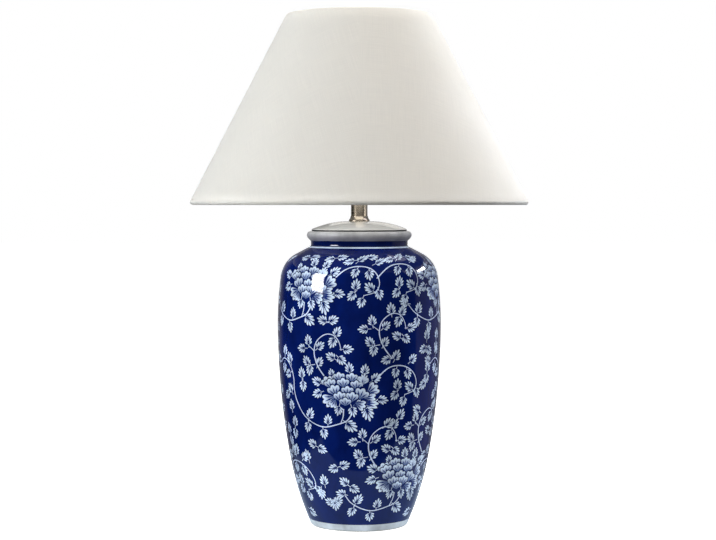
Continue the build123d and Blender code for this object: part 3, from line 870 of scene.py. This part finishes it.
# Lid, with its dome, rim and the spigot below
lid_low, lid_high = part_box("jar_lid")
LID_EDGE = 0.9 * mm
LID_UNDERCUT = 1.2 * mm
LID_BULGE = 2.3 * mm
LID_WALL = 6.0 * mm
LID_ROUNDING = 0.4 * mm
LAND_RADIUS = 13.5 * mm
ROD_HOLE = 5.4 * mm
SPIGOT_DEPTH = 10.0 * mm
SPIGOT_GAP = 0.8 * mm
SPIGOT_WALL = 4.5 * mm
lid_base = lid_low.z + SPIGOT_DEPTH
lid_ceiling = lid_high.z - LID_WALL
lid_radius = lid_high.x
lid_spigot = NECK[0] - JAR_WALL - SPIGOT_GAP
spigot_inside = lid_spigot - SPIGOT_WALL
lid_points = [(ROD_HOLE, lid_high.z), (ROD_HOLE, lid_ceiling), (LAND_RADIUS, lid_ceiling)]
lid_points += bulged_arc((LAND_RADIUS, lid_ceiling), (spigot_inside, lid_base), -LID_BULGE)
lid_points += [(spigot_inside, lid_low.z), (lid_spigot, lid_low.z), (lid_spigot, lid_base)]
lid_points += [(lid_radius - LID_UNDERCUT, lid_base), (lid_radius, lid_base + LID_EDGE)]
lid_points += bulged_arc((lid_radius, lid_base + LID_EDGE), (LAND_RADIUS, lid_high.z), LID_BULGE)
lid = turned("jar_lid_glazed", lid_points, LID_ROUNDING, longest=3 * mm, columns=160)
mount(lid, "base", "pale_glaze", pale_glaze(), "jar_lid")

# Collar and tube of the neck
collar_low, collar_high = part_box("neck_collar")
tube_low, tube_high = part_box("neck_tube")
COLLAR_BAND = 1.6 * mm
COLLAR_HOLLOW = 0.6 * mm
COLLAR_EDGE = 0.55 * mm
TUBE_GAP = 0.05 * mm
TUBE_WALL = 1.2 * mm
METAL_ROUNDING = 0.15 * mm
METAL_STEP = 0.05 * mm
collar_bore = tube_high.x + TUBE_GAP
flare_start = (collar_high.x, collar_low.z + COLLAR_BAND)
flare_end = (tube_high.x + COLLAR_EDGE, collar_high.z)
collar_points = [(collar_bore, collar_high.z), (collar_bore, tube_low.z)]
collar_points += [(ROD_HOLE, tube_low.z), (ROD_HOLE, collar_low.z), (collar_high.x, collar_low.z)]
collar_points += [flare_start, *bulged_arc(flare_start, flare_end, -COLLAR_HOLLOW)]
collar = turned("neck_collar_turned", collar_points, METAL_ROUNDING, 1 * mm, step=METAL_STEP)
mount(collar, "base", "nickel", satin_nickel, "neck_collar")

tube_bore = tube_high.x - TUBE_WALL
tube_points = [(tube_bore, tube_high.z), (tube_bore, tube_low.z)]
tube_points += [(tube_high.x, tube_low.z), (tube_high.x, tube_high.z)]
tube = turned("neck_tube_turned", tube_points, METAL_ROUNDING, 3 * mm, step=METAL_STEP)
mount(tube, "base", "nickel", satin_nickel, "neck_tube")

# Shade: linen stretched over the two wires, turned round each, with a lap seam at the back
SHADE_BOTTOM = 199.3 * mm
SHADE_TOP = 86.6 * mm
SHADE_HEIGHT = 218.2 * mm
COVER = 1.0 * mm
COVER_ROUNDING = 0.2 * mm
COVER_STEP = 0.1 * mm
TURN_RADIUS = 2.85 * mm
TURN_POINTS = 24
EDGE_TURN = radians(150)
LAP_WIDTH = 12 * mm
LAP_STEP = 0.5 * mm
LAP_SHARP = 0.25 * mm  # over how much of the cloth the lap's open edge rises
LAP_SOFT = 1.2 * mm  # and its other side, where it lies under the cloth
LAP_COLUMNS = np.linspace(radians(176), radians(184), 65)
COVER_COLUMNS = 140  # columns from the front to the lap on each side
cone_lean = atan2(SHADE_BOTTOM - SHADE_TOP, SHADE_HEIGHT)
cover_out = complex(cos(cone_lean), sin(cone_lean))
bottom_wire_z = (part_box("bottom_wire_ring")[0].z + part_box("bottom_wire_ring")[1].z) / 2
bottom_edge = complex(SHADE_BOTTOM, bottom_wire_z + TURN_RADIUS * cover_out.imag)
top_edge = bottom_edge + complex(SHADE_TOP - SHADE_BOTTOM, SHADE_HEIGHT)
bottom_wire = bottom_edge - TURN_RADIUS * cover_out
top_wire = top_edge - TURN_RADIUS * cover_out


def rolled(wire, radius, start, end):
    """Points on a bend round a wire."""
    turn = np.exp(1j * np.linspace(start, end, TURN_POINTS))
    return [(p.real, p.imag) for p in wire + radius * turn]


def cover_points():
    """Closed half section of the cloth, up its outside and down its inside."""
    outside = TURN_RADIUS + COVER / 2
    inside = TURN_RADIUS - COVER / 2
    points = rolled(bottom_wire, outside, cone_lean - EDGE_TURN, cone_lean)
    points += rolled(top_wire, outside, cone_lean, cone_lean + EDGE_TURN)
    points += rolled(top_wire, inside, cone_lean + EDGE_TURN, cone_lean)
    return points + rolled(bottom_wire, inside, cone_lean, cone_lean - EDGE_TURN)


def rise(distance, softness):
    """Smooth step from 1 before a place to 0 past it."""
    return 1 / (1 + np.exp(np.clip(distance / softness, -40, 40)))


def lap(angle, radius, height, out, up):
    """Raise the outer side along the lap seam at the back."""
    across = (angle - pi) * radius
    open_side = rise(across - LAP_WIDTH / 2, LAP_SHARP)
    covered_side = rise(-across - LAP_WIDTH / 2, LAP_SOFT)
    raised = LAP_STEP * open_side * covered_side * (out > 0.5)
    return radius + raised * out, height + raised * up


def add_weave_map(piece):
    """Map of the cloth cut open at the front and laid flat, for its threads."""
    mesh = piece.data
    flat_map = mesh.uv_layers.new(name="Weave")
    points = np.array([mesh.vertices[loop.vertex_index].co for loop in mesh.loops])
    round_map = np.zeros(len(mesh.loops) * 2, np.float32)
    mesh.uv_layers["OFBake"].uv.foreach_get("vector", round_map)
    turn = round_map[::2] * 2 * pi * sin(cone_lean)
    reach = np.hypot(points[:, 0], points[:, 1]) / sin(cone_lean)
    flat = np.column_stack([reach * np.sin(turn), -reach * np.cos(turn)])
    flat_map.uv.foreach_set("vector", flat.astype(np.float32).ravel())
    mesh.uv_layers.active = mesh.uv_layers["OFBake"]


before_lap = np.linspace(0, LAP_COLUMNS[0], COVER_COLUMNS, endpoint=False)
after_lap = np.linspace(LAP_COLUMNS[-1], 2 * pi, COVER_COLUMNS + 1)[1:]
cover_columns = np.concatenate([before_lap, LAP_COLUMNS, after_lap])
cover = turned(
    "shade_linen_cover", cover_points(), COVER_ROUNDING, 6 * mm, cover_columns, lap, step=COVER_STEP
)
add_weave_map(cover)
mount(cover, "shade", "shade_fabric", linen(), "shade_cover")


def thread(low, high, pitch, depth, wall=0.0):
    """Reshape that cuts a right-hand rolled thread past a radius, fading out at both heights."""

    def cut(angle, radius, height, out, up):
        fade = np.clip((height - low) / pitch, 0, 1) * np.clip((high - height) / pitch, 0, 1)
        turn = 2 * pi * height / pitch - angle
        groove = depth * fade * (0.5 - 0.5 * np.cos(turn))
        return np.where(radius > wall, radius - groove, radius), height

    return cut


# Lampholder body: spigot, seat, outer thread for the shade's ring and a guard lip
body_low, body_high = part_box("holder_body")
SPIGOT = (18.82 * mm, 5.0 * mm)
SEAT = (23.0 * mm, 3.0 * mm)
HOLDER_THREAD = 19.4 * mm
HOLDER_BORE = 16.6 * mm
GUARD = (14.7 * mm, 1.6 * mm)
LEDGE = (14.5 * mm, 1.0 * mm)
OUTER_PITCH = 2.4 * mm
OUTER_DEPTH = 0.7 * mm
THREAD_MARGIN = 1 * mm  # left plain at each end
THREAD_SKIN = 0.3 * mm  # only points this near the threaded wall are cut
MOULDED_ROUNDING = 0.25 * mm
MOULDED_STEP = 0.1 * mm
seat_z = body_low.z + SPIGOT[1]
seat_top = seat_z + SEAT[1]
guard_z = body_high.z - GUARD[1]
ledge_z = seat_z + LEDGE[1]
body_points = [(LEDGE[0], body_low.z), (SPIGOT[0], body_low.z), (SPIGOT[0], seat_z), (SEAT[0], seat_z)]
body_points += [(SEAT[0], seat_top), (HOLDER_THREAD, seat_top), (HOLDER_THREAD, body_high.z)]
body_points += [(GUARD[0], body_high.z), (GUARD[0], guard_z), (HOLDER_BORE, guard_z)]
body_points += [(HOLDER_BORE, ledge_z), (LEDGE[0], ledge_z)]
outer_thread = thread(
    low=seat_top + THREAD_MARGIN,
    high=body_high.z - THREAD_MARGIN,
    pitch=OUTER_PITCH,
    depth=OUTER_DEPTH,
    wall=HOLDER_THREAD - THREAD_SKIN,
)
body = turned(
    "holder_body_moulded", body_points, MOULDED_ROUNDING, 0.4 * mm, 96, outer_thread, step=MOULDED_STEP
)
mount(body, "base", "holder_plastic", black_plastic, "holder_body")

# Shade's ring: a flange and a grip with finger flutes
ring_low, ring_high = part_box("shade_ring")
RING_BORE = HOLDER_THREAD + 0.08 * mm  # runs freely on the thread
RING_GRIP = 24.0 * mm
RING_FLANGE = 2.4 * mm
FLUTES = 18
FLUTE_RADIUS = 1.2 * mm
FLUTE_COLUMNS = 14
FLUTE_FOOT = 0.1 * mm  # left plain above the flange
grip_z = ring_low.z + RING_FLANGE
ring_points = [(RING_BORE, ring_low.z), (ring_high.x, ring_low.z), (ring_high.x, grip_z)]
ring_points += [(RING_GRIP, grip_z), (RING_GRIP, ring_high.z), (RING_BORE, ring_high.z)]


def flute(angle, radius, height, out, up):
    """Hollow the grip with round flutes."""
    pitch = 2 * pi / FLUTES
    across = RING_GRIP * (np.mod(angle + pitch / 2, pitch) - pitch / 2)
    hollow = np.sqrt(np.clip(FLUTE_RADIUS**2 - across**2, 0, None))
    grip = (height > grip_z + FLUTE_FOOT) & (radius > RING_GRIP - FLUTE_RADIUS)
    return np.where(grip, np.minimum(radius, RING_GRIP - hollow), radius), height


ring_columns = FLUTES * FLUTE_COLUMNS
ring = turned(
    "shade_ring_moulded", ring_points, MOULDED_ROUNDING, 1 * mm, ring_columns, flute, step=MOULDED_STEP
)
mount(ring, "shade_ring", "holder_plastic", black_plastic, "shade_ring")

# Bulb: opal glass and a rolled screw cap
bulb_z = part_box("bulb_tip")[0].z
glass_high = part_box("bulb_glass")[1]
BULB_RADIUS = 30.0 * mm
BULB_WAIST = (19.5 * mm, 46.0 * mm)
BULB_NECK = 12.2 * mm
CAP_HEIGHT = 26.0 * mm
GLASS_TUCK = 8.0 * mm
GLASS_WALL = 1.0 * mm
GLASS_ROUNDING = 0.2 * mm
CAP_RADIUS = 13.1 * mm
CAP_WALL = 0.6 * mm
CAP_TURN = 2.0 * mm
CAP_FOOT = (11.0 * mm, 4.5 * mm)
CAP_PITCH = 3.63 * mm
CAP_DEPTH = 0.9 * mm
CAP_ROUNDING = 0.15 * mm


def glass_side(inset):
    """Half of the glass from its top down to its neck, moved in by a wall."""
    centre = (BULB_RADIUS - inset, glass_high.z - BULB_RADIUS)
    waist = (BULB_WAIST[0] - inset, bulb_z + BULB_WAIST[1])
    crown = tangent_arc(centre, pi / 2, (0, glass_high.z - inset))[0]
    side, heading = tangent_arc(centre, -pi / 2, waist)
    neck = tangent_arc(waist, heading, (BULB_NECK - inset, bulb_z + CAP_HEIGHT))[0]
    return crown[::-1] + side + neck + [(BULB_NECK - inset, bulb_z + CAP_HEIGHT - GLASS_TUCK)]


glass_points = glass_side(GLASS_WALL) + glass_side(0)[::-1]
glass = turned("bulb_glass_blown", glass_points, GLASS_ROUNDING, 3 * mm, columns=96, closed=False)
mount(glass, "bulb", "opal_glass", opal, "bulb_glass")

foot_z = bulb_z + CAP_FOOT[1]
turn_z = foot_z + CAP_TURN
cap_top = bulb_z + CAP_HEIGHT
cap_points = [(CAP_FOOT[0] - CAP_WALL, foot_z), (CAP_FOOT[0], foot_z), (CAP_RADIUS, turn_z)]
cap_points += [(CAP_RADIUS, cap_top), (CAP_RADIUS - CAP_WALL, cap_top), (CAP_RADIUS - CAP_WALL, turn_z)]
cap_thread = thread(turn_z, cap_top - GLASS_TUCK, CAP_PITCH, CAP_DEPTH)
bulb_cap = turned(
    "bulb_cap_rolled", cap_points, CAP_ROUNDING, 0.4 * mm, 96, cap_thread, step=MOULDED_STEP
)
mount(bulb_cap, "bulb", "bulb_metal", bulb_metal, "bulb_cap")

# Plain nodes that keep their solids and get their finish
for finish, *names in (
    (felt, "foot_felt"),
    (bush_rubber, "inlet_bush"),
    (gasket_rubber, "lid_gasket", "rubber_washer"),
    (zinc, "threaded_rod", "rod_washer", "rod_nut", "holder_grub_screw"),
    (satin_nickel, "holder_cap"),
    (white_ceramic, "contact_block"),
    (brass, "screw_shell", "centre_contact", "terminal_screws"),
    (liner_film, "shade_liner"),
    (enamel, "bottom_wire_ring", "top_wire_ring", "fitter_ring"),
    (enamel, "spider_arm_1", "spider_arm_2", "spider_arm_3"),
    (bulb_metal, "bulb_tip"),
    (vitrite, "bulb_insulator"),
):
    for name in names:
        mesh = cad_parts[name].data
        mesh.materials.clear()
        mesh.materials.append(finish)

# Floor: a pale sweep that glows enough to swallow most of the shadow
FLOOR_SIZE = 30.0
FLOOR_GLOW = 1.0
bpy.ops.mesh.primitive_plane_add(size=FLOOR_SIZE)
floor = bpy.context.object
floor.name = "studio_floor"
floor_glow = {"Emission_Color": (1, 1, 1, 1), "Emission_Strength": FLOOR_GLOW}
floor_finish = speckled("studio_floor", (250, 250, 250), (0.99, 1.0), 0.9, 4, 0.0, **floor_glow)
floor.data.materials.append(floor_finish)
floor.visible_glossy = False
floor.visible_diffuse = False

# Camera at the photo's height, a little left of the lamp's middle
CAMERA_PLACE = Vector((-0.0015, -2.15, 0.382))
CAMERA_TARGET = Vector((-0.0015, 0.0, 0.3032))
CAMERA_LENS = 91.0
CAMERA_SENSOR = 36.0
camera = bpy.data.objects.new("camera", bpy.data.cameras.new("camera"))
camera.data.lens = CAMERA_LENS
camera.data.sensor_width = CAMERA_SENSOR
camera.location = CAMERA_PLACE
camera.rotation_euler = (CAMERA_TARGET - CAMERA_PLACE).to_track_quat("-Z", "Y").to_euler()
bpy.context.scene.collection.objects.link(camera)
bpy.context.scene.camera = camera


LAMP_MIDDLE = Vector((0, 0, 0.3))


def lit_alone(name, *pieces):
    """Collection of the pieces that a light may be kept to."""
    made = bpy.data.collections.new(name)
    for piece in pieces:
        made.objects.link(piece)
    return made


def softbox(name, place, size, glow, colour, only=None, lights=True, mirrored=True):
    """Rectangular light that faces the lamp and lights it, shows in its gloss or both."""
    light = bpy.data.lights.new(name, "AREA")
    light.shape = "RECTANGLE"
    light.size, light.size_y = size
    light.energy = glow * pi * size[0] * size[1]
    light.color = colour
    made = bpy.data.objects.new(name, light)
    made.location = place
    made.rotation_euler = (LAMP_MIDDLE - Vector(place)).to_track_quat("-Z", "Y").to_euler()
    made.visible_camera = False
    made.visible_diffuse = lights
    made.visible_glossy = mirrored
    if only:
        made.light_linking.receiver_collection = only
    bpy.context.scene.collection.objects.link(made)


# Studio lights: name, place, size, glow, colour and the pieces they are kept to
neck_metal = lit_alone("neck_metal", collar, tube)
lid_glaze = lit_alone("lid_glaze", lid)
PLAIN = (1.0, 1.0, 1.0)
WARM = (1.0, 0.96, 0.89)
COOL = (0.92, 0.97, 1.0)
LILAC = (0.92, 0.88, 1.0)
SKY = (0.6, 0.8, 1.0)
GLOSS_LIGHTS = (
    ("window_left", (-1.70, -0.92, 0.84), (0.68, 0.70), 25, PLAIN),
    ("strip_right", (1.70, 0.70, 1.10), (0.8, 0.16), 40, PLAIN),
    ("neck_strip_left", (-1.5, -1.05, 0.41), (0.5, 0.3), 2.6, WARM, neck_metal),
    ("neck_strip_right", (1.80, -0.15, 0.41), (0.5, 0.3), 3.0, WARM, neck_metal),
    ("neck_card_above", (0.0, -0.09, 0.43), (0.26, 0.14), 1.2, WARM, neck_metal),
    ("lid_card", (0.03, 0.16, 0.415), (0.28, 0.06), 0.66, WARM, lid_glaze),
    ("card_in_shade", (0.16, 0.02, 0.46), (0.3, 0.18), 1.5, LILAC),
    ("floor_bounce", (0.0, 0.0, 0.002), (0.6, 0.4), 0.5, SKY),
)
SOFT_LIGHTS = (
    ("softbox_left", (-1.75, -1.2, 0.66), (1.0, 0.7), 19.5, COOL),
    ("softbox_right", (1.5, 0.1, 2.0), (1.2, 1.2), 9.0, PLAIN),
    ("softbox_low_right", (1.7, -0.6, 0.75), (1.0, 0.5), 2.6, PLAIN),
    ("softbox_far_right", (2.0, 0.55, 0.6), (0.8, 0.8), 4.6, SKY),
    ("softbox_top", (0.2, -0.4, 2.6), (1.4, 1.4), 4.4, WARM),
    ("softbox_back", (0.0, 2.4, 1.0), (2.0, 1.4), 2.5, WARM),
    ("fill_front", (-0.2, -3.0, 0.5), (2.4, 1.2), 2.0, WARM),
    ("under_shade", (0.06, -0.02, 0.40), (0.3, 0.3), 0.5, PLAIN),
    ("floor_light", (0.08, 0.0, 0.002), (0.44, 0.4), 0.7, COOL),
)
for row in GLOSS_LIGHTS:
    softbox(*row, lights=False)
for row in SOFT_LIGHTS:
    softbox(*row, mirrored=False)
softbox("card_right", (1.7, 0.65, 0.3), (1.8, 2.0), 0.19, LILAC)

# World: white behind the lamp, nearly dark on the camera's side, plain white where the camera sees it
ROOM_FRONT = 0.01
ROOM_BACK = 0.35
ROOM_FADE = (0.7, 1.0)  # how far backwards a direction points where the glow starts and is full
WHITE = (1, 1, 1, 1)
world = bpy.data.worlds.new("studio")
bpy.context.scene.world = world
world.use_nodes = True
studio = Nodes(world.node_tree)
direction = studio.node("SeparateXYZ", {0: studio.node("TexCoord").outputs["Generated"]})
room_glow = studio.spread(direction.outputs["Y"], ROOM_FRONT, ROOM_BACK, *ROOM_FADE)
room = studio.node("Background", {"Color": WHITE, "Strength": room_glow})
seen = studio.node("Background", {"Color": WHITE})
camera_ray = studio.node("LightPath").outputs["Is Camera Ray"]
mix = studio.node("MixShader", {0: camera_ray, 1: room.outputs[0], 2: seen.outputs[0]})
studio.feed(world.node_tree.nodes["World Output"].inputs["Surface"], mix.outputs[0])
bpy.context.scene.view_settings.view_transform = "Standard"
